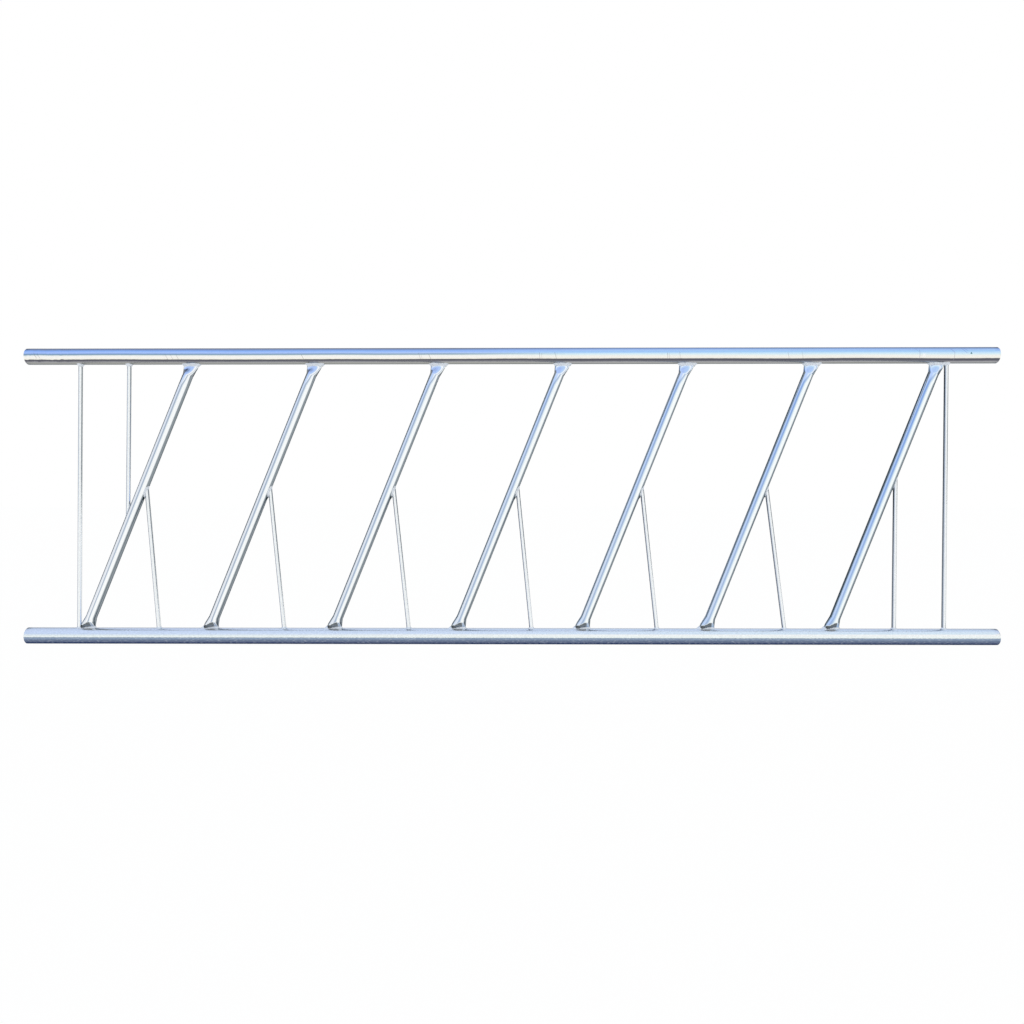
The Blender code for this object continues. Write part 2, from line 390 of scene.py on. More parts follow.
@dataclass(frozen=True)
class ZincFinish:
    """Hot-dip galvanised steel, with painted reflections and painted shade in its colour, darker on
    undersides.

    The zinc is a thin metal skin that mirrors its surroundings softly. Its colour also holds painted
    reflections of sky and ground, set by how far the surface faces down, and painted shade on the side
    that faces down, which is also rougher.

    The grain is the width of a patch of crystals, 4 to 12 mm as on dipped tube, and the bump is how deep
    it lies. The serration is how far the painted bands' edges stray, over noise of the serration's length.
    """

    name: str
    slot: Slot
    colours: Ramp
    rough_bright: float
    rough_dull: float
    grain: float
    grain_contrast: float
    bump: float
    serration: float
    serration_length: float
    metallic: float = 1.0
    edge: str = "#7F8CA0"
    ragged_end: float = 0.0
    ragged_reach: tuple[float, float] = (0.12, 0.17)
    wander: float = 0.0
    wander_scale: float = 2.2
    specks: float = 0.0
    specks_start: float = 0.54
    specks_scale: tuple[float, float, float] = (110.0, 420.0, 420.0)
    specks_colour: str = "#D4DCE6"
    rail_marks: tuple[RailMark, ...] = ()
    colours_right: Ramp = ()
    change: tuple[float, float] = (0.0, 3.0)

    def make(self) -> bpy.types.Material:
        """Build the material.

        Returns:
            The finished material.
        """
        material = bpy.data.materials.new(self.name)
        tree = empty_tree(material)
        place = add_node(tree, "TexCoord").outputs["Object"]
        parts = add_node(tree, "SeparateXYZ", {0: place})
        facing = self.add_facing(tree, place, parts)
        grain = add_node(
            tree, "TexNoise", {"Vector": place, "Scale": 1 / self.grain, "Detail": 3.0, "Roughness": 0.6}
        )
        speckle = add_node(
            tree, "MapRange",
            {"Value": grain, "From Min": 0.3, "From Max": 0.7, "To Min": 1 - self.grain_contrast},
        )
        colour = add_node(
            tree, "Mix", {0: 1.0, 6: self.add_shade(tree, parts, facing), 7: speckle},
            data_type="RGBA", blend_type="MULTIPLY",
        ).outputs[2]
        if self.specks:
            colour = self.add_specks(tree, place, facing, colour)
        for rail_mark in self.rail_marks:
            colour = rail_mark.draw(tree, parts, colour)
        limits = {"To Min": self.rough_bright, "To Max": self.rough_dull}
        rough = add_node(tree, "MapRange", {"Value": facing, "From Min": 0.5, "From Max": 0.8} | limits)
        bump = add_node(tree, "Bump", {"Height": grain, "Strength": 1.0, "Distance": self.bump})
        zinc = {"Metallic": self.metallic, "Specular Tint": linear(self.edge), "Base Color": colour}
        shader = add_node(tree, "BsdfPrincipled", zinc | {"Roughness": rough, "Normal": bump})
        add_node(tree, "OutputMaterial", {"Surface": shader})
        return material

    def add_shade(self, tree: Tree, parts: Node, facing: Socket) -> Socket:
        """Paint the zinc's reflections and shade by its facing, and along the panel where its ends differ.

        Args:
            tree: The material's nodes.
            parts: Object coordinates, apart.
            facing: How far the surface faces down.

        Returns:
            The zinc's colour, with painted reflections and shade.
        """
        if self.colours_right:
            change = {"From Min": self.change[0], "From Max": self.change[1]}
            share = add_node(tree, "MapRange", {"Value": parts.outputs["X"]} | change)
            return blend_ramps(tree, facing, share, self.colours, self.colours_right)
        return set_ramp(add_node(tree, "ValToRGB", {"Fac": facing}), self.colours).outputs["Color"]

    def add_specks(self, tree: Tree, place: Socket, facing: Socket, colour: Socket) -> Socket:
        """Add bright flecks, 9 mm long and 2.4 mm high, drawn out along the rail, where shade is painted.

        Args:
            tree: The material's nodes.
            place: Object coordinates.
            facing: How far the surface faces down.
            colour: The colour under the flecks.

        Returns:
            The colour with the flecks.
        """
        drawn_out = add_node(tree, "VectorMath", {0: place, 1: self.specks_scale}, operation="MULTIPLY")
        flecks = add_node(tree, "TexNoise", {"Vector": drawn_out, "Scale": 1.0, "Detail": 2.0})
        bright = add_node(
            tree, "MapRange", {"Value": flecks, "From Min": 0.56, "From Max": 0.68, "To Max": self.specks}
        )
        below = add_node(tree, "Math", {0: facing, 1: self.specks_start}, operation="GREATER_THAN")
        share = add_node(tree, "Math", {0: bright, 1: below}, operation="MULTIPLY")
        fleck = linear(self.specks_colour)
        return add_node(tree, "Mix", {0: share, 6: colour, 7: fleck}, data_type="RGBA").outputs[2]

    def add_facing(self, tree: Tree, place: Socket, parts: Node) -> Socket:
        """Read how far the surface faces down, from 0 to 1, with a ragged edge.

        Args:
            tree: The material's nodes.
            place: Object coordinates.
            parts: The same, apart.

        Returns:
            The socket to read: 0 faces up, 0.5 sideways and 1 down.
        """
        facing = add_node(tree, "Attribute", attribute_name=FACING).outputs["Fac"]
        edge_noise = add_node(
            tree, "TexNoise", {"Vector": place, "Scale": 1 / self.serration_length, "Detail": 2.0}
        )
        centred = add_node(tree, "Math", {0: edge_noise, 1: 0.5}, operation="SUBTRACT")
        end = {"From Min": self.ragged_reach[0], "From Max": self.ragged_reach[1]}
        depth = {"To Min": self.serration + self.ragged_end, "To Max": self.serration}
        reach = add_node(tree, "MapRange", {"Value": parts.outputs["X"]} | end | depth)
        ragged = add_node(tree, "Math", {0: centred, 1: reach, 2: facing}, operation="MULTIPLY_ADD")
        bends = add_node(tree, "TexNoise", {"Vector": place, "Scale": self.wander_scale, "Detail": 1.0})
        limits = {"To Min": -self.wander, "To Max": self.wander}
        stray = add_node(tree, "MapRange", {"Value": bends, "From Min": 0.25, "From Max": 0.75} | limits)
        strayed = add_node(tree, "Math", {0: ragged, 1: stray}, operation="ADD")
        return add_node(tree, "MapRange", {"Value": strayed, "From Min": -1.0}).outputs["Result"]


# Each: distance along the rail, lean, width, middle height, reach up and down, colour, strength.
TOP_RAIL_MARKS = (
    RailMark(0.036, 0.5, 0.0022, 0.882, 0.009, "#77757A", 0.45),
    RailMark(0.047, 0.5, 0.0020, 0.881, 0.008, "#77757A", 0.35),
    RailMark(0.449, 0.5, 0.0022, 0.878, 0.009, "#807F84", 0.35),
    RailMark(0.466, 0.5, 0.0020, 0.876, 0.009, "#807F84", 0.35),
    RailMark(0.484, 0.5, 0.0020, 0.876, 0.009, "#807F84", 0.35),
    RailMark(0.877, 0.5, 0.0022, 0.875, 0.008, "#8B8A84", 0.5),
    RailMark(1.244, 0.4, 0.0020, 0.876, 0.012, "#77757A", 0.35),
    RailMark(1.250, 0.3, 0.0018, 0.874, 0.008, "#8B8A84", 0.3),
    RailMark(1.276, 0.5, 0.0022, 0.8745, 0.009, "#8B8A84", 0.5),
    RailMark(1.618, 0.1, 0.0020, 0.878, 0.011, "#77737E", 0.35),
    RailMark(1.6245, 0.1, 0.0016, 0.877, 0.010, "#77737E", 0.3),
    RailMark(1.668, 0.3, 0.0020, 0.878, 0.011, "#77737E", 0.4),
    RailMark(2.0165, 0.1, 0.0022, 0.878, 0.010, "#77737E", 0.4),
    RailMark(2.022, 0.1, 0.0016, 0.878, 0.010, "#77737E", 0.3),
    RailMark(2.0545, 0.1, 0.0018, 0.882, 0.009, "#77737E", 0.35),
    RailMark(2.3915, 0.2, 0.0018, 0.880, 0.010, "#77737E", 0.3),
    RailMark(2.435, 0.2, 0.0018, 0.880, 0.010, "#77737E", 0.3),
    RailMark(2.7905, 0.9, 0.0020, 0.895, 0.006, "#8D8FB0", 0.35),
    RailMark(2.798, 0.0, 0.0020, 0.883, 0.013, "#8D8FB0", 0.45),
    RailMark(2.812, 0.7, 0.0040, 0.878, 0.006, "#FFFFFF", 0.6),
    RailMark(2.810, -0.7, 0.0040, 0.878, 0.006, "#FFFFFF", 0.6),
    RailMark(2.9005, 0.8, 0.0022, 0.894, 0.006, "#8478B4", 0.55),
    RailMark(2.9055, 0.0, 0.0020, 0.876, 0.012, "#8F8FA0", 0.45),
    RailMark(2.937, 0.9, 0.0022, 0.893, 0.008, "#7F88C8", 0.55),
    RailMark(2.942, 0.8, 0.0020, 0.898, 0.005, "#7F88C8", 0.5),
    RailMark(2.9568, 0.0, 0.0056, 0.8840, 0.0016, "#3F7880", 0.9),
    RailMark(2.9568, 0.0, 0.0026, 0.8870, 0.0014, "#3F7880", 0.9),
)
# Smooth zinc whose colour holds painted reflections in crisp bands by how far it faces down: blue sky,
# cream ground and dark grey ground below, changing partway along the rail.
TOP_RAIL_ZINC = ZincFinish(
    "bright hot-dip zinc on the top rail", Slot.TUBE,
    (
        (0.0, "#ADACB0"), (0.098, "#AFAEB2"), (0.176, "#A1B7DD"), (0.248, "#B4D1FD"), (0.317, "#C8DDFF"),
        (0.383, "#CFDCFA"), (0.410, "#C0D2F0"), (0.436, "#8DA8C2"), (0.470, "#8FAABE"), (0.505, "#C2D2D2"),
        (0.535, "#F4F7F6"), (0.640, "#FDFBF6"), (0.742, "#FBF9EC"), (0.764, "#5C5C62"), (0.800, "#5E5E67"),
        (0.850, "#707078"), (0.890, "#A2A2A6"), (0.955, "#ACACA6"), (1.0, "#A6A69E"),
    ),
    rough_bright=0.13, rough_dull=0.20, grain=0.009, grain_contrast=0.04, bump=0.00002, serration=0.04,
    serration_length=0.012, edge="#A4ACB8", ragged_end=0.14, wander=0.05, rail_marks=TOP_RAIL_MARKS,
    colours_right=(
        (0.0, "#A2ACBE"), (0.053, "#A2ACBE"), (0.140, "#BDCDE9"), (0.215, "#C7DAFC"), (0.286, "#BFDAF8"),
        (0.353, "#C6E1FE"), (0.420, "#C5E4FC"), (0.485, "#DAF0F9"), (0.548, "#ECF4F2"), (0.609, "#F8F7F1"),
        (0.722, "#F8F6EC"), (0.748, "#7C7C80"), (0.768, "#5F5E66"), (0.830, "#60606A"), (0.865, "#72727A"),
        (0.900, "#A0A0A4"), (0.940, "#B2B2B2"), (1.0, "#9A9A90"),
    ),
    change=(1.35, 1.75),
)
# Dross left it mottled and soft. Its colour holds a painted white reflection over its upper half and
# painted shade, grey-blue to navy, on its underside, with bright flecks over that.
BOTTOM_RAIL_ZINC = ZincFinish(
    "mottled hot-dip zinc on the bottom rail", Slot.TUBE,
    (
        (0.0, "#FAFBFC"), (0.12, "#FCFCFD"), (0.34, "#FEFFFF"), (0.40, "#F8FFFD"), (0.4625, "#F8FFFF"),
        (0.506, "#F8FFFF"), (0.521, "#8A9AA4"), (0.545, "#99ABC2"), (0.60, "#8EA0BA"), (0.655, "#7E8FA9"),
        (0.723, "#6C7B95"), (0.80, "#6A7490"), (0.84, "#4E5A7C"), (0.88, "#303C60"), (1.0, "#2A3656"),
    ),
    rough_bright=0.24, rough_dull=0.34, grain=0.0045, grain_contrast=0.14, bump=0.00005, serration=0.12,
    serration_length=0.006, edge="#A8B2C2", metallic=0.95, specks=0.35,
)
# Start of the slant bars' stops: a painted dark edge, then a painted blue reflection of the sky where they
# face up.
SLANT_TOP: Ramp = ((0.0, "#66727A"), (0.10, "#66727A"), (0.18, "#D2E0FA"), (0.28, "#D8E4FA"))
# Painted shade in the dents at the bars' feet.
SLANT_UNDERSIDE: Ramp = (
    (0.725, "#4A4F50"), (0.750, "#4C5154"), (0.790, "#6C7276"), (0.840, "#8C9298"), (0.900, "#767C82")
)
# As smooth as the top rail. Its colour holds a painted bright reflection streak down each bar's left and
# a painted dark reflection streak down its right, shifting along the panel.
SLANT_ZINC = ZincFinish(
    "bright hot-dip zinc on the slant bars", Slot.TUBE,
    (
        *SLANT_TOP, (0.33, "#FDFEFF"), (0.410, "#FDFEFF"), (0.432, "#A6B4C6"), (0.466, "#AAB8CA"),
        (0.484, "#DEE7EF"), (0.505, "#EEF4F8"), (0.535, "#FDFFFF"), (0.604, "#FBFEFF"), (0.618, "#A4ACB0"),
        (0.634, "#8E979B"), (0.660, "#8E979C"), (0.700, "#A6ACB4"), *SLANT_UNDERSIDE,
    ),
    rough_bright=0.11, rough_dull=0.16, grain=0.012, grain_contrast=0.02, bump=0.00002, serration=0.008,
    serration_length=0.030, edge="#4A545E", change=(0.6, 2.6),
    colours_right=(
        *SLANT_TOP, (0.34, "#E8F2FF"), (0.408, "#E6F1FF"), (0.432, "#ACC2E6"), (0.462, "#B0C8EA"),
        (0.480, "#D0E2F2"), (0.505, "#E6F4FC"), (0.535, "#FAFFFF"), (0.598, "#F8FDFE"), (0.613, "#A8B6BC"),
        (0.630, "#96A2A8"), (0.660, "#9CA6AC"), (0.700, "#AAB2B8"), *SLANT_UNDERSIDE,
    ),
)
# The zinc set grainy on the thin rods, near white in front, with painted grey-blue shade on the left edge.
ROD_ZINC = ZincFinish(
    "grained hot-dip zinc on the rods", Slot.ROD,
    (
        (0.0, "#FAFEFF"), (0.50, "#FAFEFF"), (0.54, "#E4EBF8"), (0.60, "#BCC6D4"), (0.70, "#8C96A2"),
        (1.0, "#5A6470"),
    ),
    rough_bright=0.12, rough_dull=0.22, grain=0.0035, grain_contrast=0.16, bump=0.00014, serration=0.0,
    serration_length=0.010, edge="#1C2436",
)
# Zinc clings to the rough bead as pale lumps, with painted shade where it faces down and in the sharp
# corner beneath.
WELD_ZINC = ZincFinish(
    "lumpy zinc over a weld", Slot.WELD,
    ((0.0, "#FFFFFF"), (0.80, "#FFFFFF"), (0.93, "#E4E8EC"), (0.97, "#5A615F"), (1.0, "#20302C")),
    rough_bright=0.34, rough_dull=0.42, grain=0.004, grain_contrast=0.16, bump=0.0004, serration=0.05,
    serration_length=0.006, edge="#A8B2C2", metallic=0.2,
)
# Nothing wiped the tubes' insides, so the zinc is matt and grey there.
INNER_ZINC = ZincFinish(
    "dull zinc inside a tube", Slot.TUBE, ((0.0, "#9EA4AC"), (1.0, "#8A9098")),
    rough_bright=0.50, rough_dull=0.55, grain=0.006, grain_contrast=0.20, bump=0.0001, serration=0.0,
    serration_length=0.010,
)


class Workshop:
    """Keeps the finishes and hands each finished piece over to the frame."""

    def __init__(self) -> None:
        """Start with no materials made."""
        self.materials: dict[str, bpy.types.Material] = {}

    def hand_over(self, obj: Piece, node: str, finish: ZincFinish, measure: Measure = straight_down) -> None:
        """Let a finished piece stand for a CAD node, with how far it faces down as an attribute.

        Args:
            obj: The finished piece.
            node: Name of the CAD node that it replaces.
            finish: Its main finish; not used.
            measure: Gives from a corner's place and normal how far it faces down, from -1 (up) to 1.
        """
        obj.name = f"galvanised_{node}"
        mesh = obj.data
        facing = mesh.attributes.new(FACING, "FLOAT", "POINT")
        for i, normal in enumerate(mesh.vertex_normals):
            facing.data[i].value = measure(mesh.vertices[i].co, normal.vector)
        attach(obj, BODY)
        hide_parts(node)
        LOG.info("%s: %d faces", obj.name, len(obj.data.polygons))

    def dress(self, obj: Piece, *finishes: ZincFinish) -> None:
        """Give a piece its materials, each made the first time it is wanted.

        Args:
            obj: The piece.
            finishes: Its finishes, the outer one first.
        """
        for finish in finishes:
            if finish.name not in self.materials:
                self.materials[finish.name] = finish.make()
            obj.data.materials.append(self.materials[finish.name])


@dataclass
class Rails:
    """The two round rails: tubes with open ends, cut square."""

    layout: Layout
    workshop: Workshop
    sides: int = 96
    cuts: int = 11
    end_bevel: float = 0.0004
    ripple_spacing: float = 0.045
    ripple_depth: float = 0.00012

    def build(self) -> None:
        """Model and dress both rails."""
        layout = self.layout
        for node, tube, finish in (
            ("bottom_rail", layout.bottom_rail, BOTTOM_RAIL_ZINC),
            ("top_rail", layout.top_rail, TOP_RAIL_ZINC),
        ):
            obj = open_cylinder(node, tube.radius, tube.at, tube.at + ALONG * layout.length, self.sides)
            for _ in range(2):
                with editing(obj, lambda a, b: abs((a - b).x) > self.end_bevel):
                    bpy.ops.mesh.subdivide(number_cuts=self.cuts)
            ripple(obj, self.ripple_spacing, self.ripple_depth)
            self.workshop.dress(obj, finish, INNER_ZINC)
            add_modifier(obj, "SOLIDIFY", thickness=layout.rail_wall, offset=-1, material_offset=1)
            add_modifier(
                obj, "BEVEL", width=self.end_bevel, segments=2, limit_method="ANGLE", angle_limit=1.0
            )
            smooth(obj)
            self.workshop.hand_over(obj, node, finish)


@dataclass
class SlantBars:
    """Seven alike tubes, pressed flat at both ends and cut level there."""

    layout: Layout
    workshop: Workshop
    sides: int = 64
    pinch_reach: float = 0.036
    pinch_ramp: float = 0.029
    pinch_slit: float = 0.0022
    pinch_drift: float = 0.0019
    foot_dent: float = 0.0185
    foot_curve: float = 0.6
    foot_skew: float = 0.4
    skew_range: tuple[float, float] = (0.004, 0.016)
    head_dent: float = 0.038
    head_ease: tuple[float, float, float] = (0.3, 2.2, -1.5)
    dent_end: float = 0.004
    pinch_steps: int = 20
    run_steps: int = 24
    sunk: float = 0.0004
    ripple_spacing: float = 0.09
    ripple_depth: float = 0.0001
    # How far the painted reflection streaks lie to the left, as a rise of the facing value for each metre
    # to the panel's right and up from its middle: first the bright streak, then the dark one.
    streak_start: float = -0.015
    streak_right: float = 0.0874
    streak_up: float = 0.032
    dark_streak_right: float = 0.0431
    dark_streak_up: float = -0.08
    dark_streak_bend: float = 0.0987
    dark_streak_bend_start: float = 0.4
    flank: float = 0.35
    # Painted dark reflection down the far left edge of bars right of the middle.
    left_edge: tuple[float, float] = (0.92, 0.97)
    left_edge_value: float = -0.9
    # Painted shade on the dent's face at the foot: the tilt it starts at, its values, and its dark corner,
    # measured from the bar's foot to the right.
    dent_tilt: float = 0.1
    dent_value: float = 0.48
    dent_darkening: float = 0.4
    dent_corner: tuple[float, float] = (-0.012, 0.010)
    dent_corner_least: float = 0.2
    dent_right: float = 0.0252
    dent_right_value: float = -0.06
    head_tilt_share: float = 0.5

    def build(self) -> None:
        """Model one bar, copy it with its mesh to the other places, and dress them all."""
        layout = self.layout
        bars = [self.model()]
        for i in range(1, layout.slant_count):
            select_only(bars[0])
            bpy.ops.object.duplicate(linked=False)
            bars.append(bpy.context.object)
            bars[i].location = layout.foot(i) - layout.foot(0)
            bpy.ops.object.transform_apply(location=True, rotation=True, scale=True)
        for i, bar in enumerate(bars):
            ripple(bar, self.ripple_spacing, self.ripple_depth)
            self.workshop.dress(bar, SLANT_ZINC, INNER_ZINC)
            add_modifier(bar, "SOLIDIFY", thickness=layout.slant_wall, offset=-1, material_offset=1)
            smooth(bar)
            measure = partial(self.facing, layout.foot(i).x)
            self.workshop.hand_over(bar, f"slant_bar_{i + 1}", SLANT_ZINC, measure)

    def facing(self, foot: float, place: Vector, normal: Vector) -> float:
        """Measure how far a bar's side faces down, as the value by which its reflections and shade are
        painted.

        The painted bright reflection streak on a bar's left and the painted dark reflection streak on its
        right lie further left on bars further right. They follow the flanks down to the foot. The dent's face
        there has painted shade all over, darkest in its left corner. The head's pressed face is painted
        brighter. On bars right of the middle, the far left edge is painted dark.

        Args:
            foot: How far along the panel the bar's foot is.
            place: The corner's place.
            normal: The corner's normal.

        Returns:
            The value from -1 (up) to 1 (down).
        """
        layout = self.layout
        tilt = -normal.dot(layout.lean_axis)
        low = place.z < layout.rail_radius + self.pinch_reach
        if low and tilt > self.dent_tilt and abs(normal.y) > self.flank:
            corner = max(between(place.x - foot, *self.dent_corner), self.dent_corner_least)
            dark = self.dent_value + self.dent_darkening * (tilt - self.dent_tilt) * corner
            return dark if place.x - foot < self.dent_right else self.dent_right_value
        across = normal.dot(layout.across)
        side = between(across, 0, self.flank)
        side = side * side * (3 - 2 * side)
        right = place.x - layout.length / 2
        high = place.z - layout.rail_spacing / 2
        # Painted reflection streaks: bright down a bar's left, dark down its right.
        streak = self.streak_right * right + self.streak_up * high + self.streak_start
        bend = self.dark_streak_bend * max(right - self.dark_streak_bend_start, 0) ** 2
        dull = self.dark_streak_right * right + bend + self.dark_streak_up * high
        pinch = -tilt * math.cos(layout.lean) if high < 0 else -self.head_tilt_share * max(-tilt, 0)
        value = streak + (dull - streak) * side - normal.z + pinch
        left = between(-across, *self.left_edge) * between(right, 0, 1)
        return value + (self.left_edge_value - value) * left

    def model(self) -> Piece:
        """Model the first bar's outside.

        Returns:
            An open tube with pressed ends, at the first bar's place.
        """
        span = self.layout.slant_span
        obj = open_cylinder("slant bar", self.layout.slant_radius, Vector((0, 0, 0)), UP * span, self.sides)
        for along in self.stations():
            with editing(obj):
                bpy.ops.mesh.bisect(plane_co=UP * along, plane_no=UP)
        for vertex in obj.data.vertices:
            share = math.atan2(vertex.co.y, vertex.co.x) / math.tau % 1
            x, y = self.outline(share, vertex.co.z)
            vertex.co.x, vertex.co.y = x, y
        layout = self.layout
        turn = Matrix((layout.across, BACK, layout.lean_axis)).transposed().to_4x4()
        obj.data.transform(Matrix.Translation(layout.foot(0)) @ turn)
        low = layout.rail_radius - self.sunk
        with editing(obj):
            bpy.ops.mesh.bisect(plane_co=UP * low, plane_no=UP, clear_inner=True)
        with editing(obj):
            bpy.ops.mesh.bisect(plane_co=UP * (layout.rail_spacing - low), plane_no=UP, clear_outer=True)
        return obj

    def stations(self) -> list[float]:
        """Work out where the tube gets its rings, closer together where it is pressed.

        Returns:
            Distances along the axis.
        """
        span = self.layout.slant_span
        start = self.layout.rail_radius / math.cos(self.layout.lean) + self.pinch_reach
        reach = self.pinch_reach - self.dent_end / 2
        ramp = [start - reach * i / self.pinch_steps for i in range(self.pinch_steps + 1)]
        run = [start + (span - 2 * start) * i / self.run_steps for i in range(1, self.run_steps)]
        return ramp + run + [span - along for along in ramp]

    def outline(self, share: float, along: float) -> tuple[float, float]:
        """Find a point of the pressed tube's outside.

        The width follows a tube whose wall keeps its length. The depth gives way later, in a dent that the
        jaws' level edges pressed into the tube's faces.

        Args:
            share: Share of the way round, from the right-hand tip.
            along: Distance along the axis.

        Returns:
            The point's distance to the right of the axis and behind it.
        """
        radius = self.layout.slant_radius
        span = self.layout.slant_span
        flat_depth = self.layout.slant_wall + self.pinch_slit / 2
        lower = along < span / 2
        above = min(along, span - along) - self.layout.rail_radius / math.cos(self.layout.lean)
        pressed = between(above, self.pinch_reach, self.pinch_reach - self.pinch_ramp)
        even_depth = radius - pressed * (radius - flat_depth)
        half_width = even_depth + math.pi / 2 * (radius - even_depth)
        x, y = half_width * math.cos(share * math.tau), radius * math.sin(share * math.tau)
        flat_x, flat_y = stadium_point(half_width, flat_depth, share)
        level = above * math.cos(self.layout.lean) + x * math.sin(self.layout.lean) * (-1 if lower else 1)
        reach = self.foot_dent if lower else self.head_dent
        if lower:
            level -= self.foot_skew * x * between(level, *self.skew_range)
        share_left = between(level, self.dent_end, reach)
        blend = 1 - share_left
        if lower:
            limit = flat_depth + (radius - flat_depth) * share_left**self.foot_curve
            y = math.copysign(min(abs(y), limit), y) if blend < 1 else flat_y
        else:
            first, second, third = self.head_ease
            eased = share_left * (first + share_left * (second + third * share_left))
            y = flat_y + (y - flat_y) * eased
        drift = pressed * self.pinch_drift * (1 if lower else -1)
        return x + (flat_x - x) * blend * blend + drift, y


def stadium_point(half_width: float, half_depth: float, share: float) -> tuple[float, float]:
    """Find a point on two half circles joined by flats, in even steps of the way round.

    Args:
        half_width: Half of the whole width.
        half_depth: Half of the depth, which is the half circles' radius.
        share: Share of the way round, from the right-hand tip.

    Returns:
        The point across and in depth.
    """
    flat = half_width - half_depth
    arc = math.pi / 2 * half_depth
    quadrant, part = divmod(4 * share, 1)
    walked = (part if quadrant % 2 == 0 else 1 - part) * (arc + flat)
    if walked < arc:
        x = flat + half_depth * math.cos(walked / half_depth)
        y = half_depth * math.sin(walked / half_depth)
    else:
        x, y = flat + arc - walked, half_depth
    return (x if quadrant in (0, 3) else -x), (y if quadrant < 2 else -y)


@dataclass
class Bead:
    """A weld bead round the end of a bar, laid on the tube that it meets."""

    at: Vector
    heading: Vector
    half_width: float
    half_depth: float
    tube: Tube
    out: float
    up: float
    waves: int
    seed: float
    major: int = 96
    minor: int = 16
    uneven: float = 0.0
    crotch: float = 0.0
    wave_height: float = 0.12
    lump_height: float = 0.30
    lump_count: float = 3.0
    hollow: float = 2.3
    sunk: float = 0.0010

    @property
    def right(self) -> Vector:
        """Direction across the bar in the panel's plane."""
        return BACK.cross(self.heading).normalized()

    def build(self, node: str, workshop: Workshop) -> None:
        """Lay a closed ring of metal round the bar.

        Args:
            node: CAD node that the bead stands for.
            workshop: Keeper of the finishes.
        """
        bpy.ops.object.select_all(action="DESELECT")
        bpy.ops.mesh.primitive_torus_add(
            major_segments=self.major, minor_segments=self.minor, major_radius=1, minor_radius=0.25
        )
        obj = bpy.context.object
        right = self.right
        for vertex in obj.data.vertices:
            share = math.atan2(vertex.co.y, vertex.co.x) / math.tau % 1
            turn = math.atan2(vertex.co.z, math.hypot(vertex.co.x, vertex.co.y) - 1)
            size = self.size(share)
            lean = 1 + self.uneven * math.cos(share * math.tau)
            growth = self.profile(math.cos(turn), self.out * size * lean)
            lift = self.profile(math.sin(turn), self.up * size)
            x, y = stadium_point(self.half_width + growth, self.half_depth + growth, share)
            point = self.at + right * x + BACK * y
            vertex.co = point + self.heading * (self.tube.distance(point, self.heading) - lift)
        with editing(obj):
            bpy.ops.mesh.normals_make_consistent(inside=False)
        workshop.dress(obj, WELD_ZINC)
        smooth(obj, degrees=60)
        workshop.hand_over(obj, node, WELD_ZINC, self.facing)

    def facing(self, place: Vector, normal: Vector) -> float:
        """Measure how far the bead faces down, and mark the sharp corner for the darkest painted shade.

        Args:
            place: The corner's place.
            normal: The corner's normal.

        Returns:
            The value from -1 (up) to 1 (down, or painted shade in the corner).
        """
        # Painted shade in the sharp corner past the rod's side.
        if self.crotch and (place - self.at).dot(self.right) < -self.half_width - self.crotch:
            return 1.0
        return straight_down(place, normal)

    def profile(self, turn: float, leg: float) -> float:
        """Shape one leg of a slightly hollow fillet, sunk into the metal where the turn is negative."""
        return leg * turn**self.hollow if turn > 0 else self.sunk * turn

    def size(self, share: float) -> float:
        """Give the bead's waves and lumps.

        Args:
            share: Share of the way round.

        Returns:
            The relative thickness there.
        """
        wave = self.wave_height * abs(math.sin(math.pi * self.waves * share))
        spot = Vector((math.cos(share * math.tau), math.sin(share * math.tau), 0)) * self.lump_count
        return 1 - self.wave_height + wave + self.lump_height * noise.noise(spot + UP * self.seed)


@dataclass
class SlantWelds:
    """The beads round the slant bars' pressed ends, on the rails' crowns."""

    layout: Layout
    workshop: Workshop
    middle: float = 0.01179
    half_width: float = 0.02428
    half_depth: float = 0.00366
    # How far a bead reaches out from the bar and along it.
    foot_legs: tuple[float, float] = (0.0050, 0.0064)
    head_legs: tuple[float, float] = (0.0070, 0.0070)
    foot_uneven: float = 0.4
    waves: int = 22

    def build(self) -> None:
        """Lay a bead at every foot and head."""
        layout = self.layout
        rise = UP * layout.rail_spacing
        foot = Vector((self.middle, 0, 2 * layout.rail_radius))
        head = rise + ALONG * layout.rail_spacing * math.tan(layout.lean) - foot
        ends = (
            ("foot", foot, -UP, layout.bottom_rail, self.foot_legs, 0, self.foot_uneven),
            ("head", head, UP, layout.top_rail, self.head_legs, 0.5, 0),
        )
        for i in range(layout.slant_count):
            for end, place, heading, tube, legs, seed, uneven in ends:
                bead = Bead(
                    layout.foot(i) + place, heading, self.half_width, self.half_depth, tube, *legs,
                    self.waves, i + seed, uneven=uneven,
                )
                bead.build(f"weld_slant_bar_{i + 1}_{end}", self.workshop)


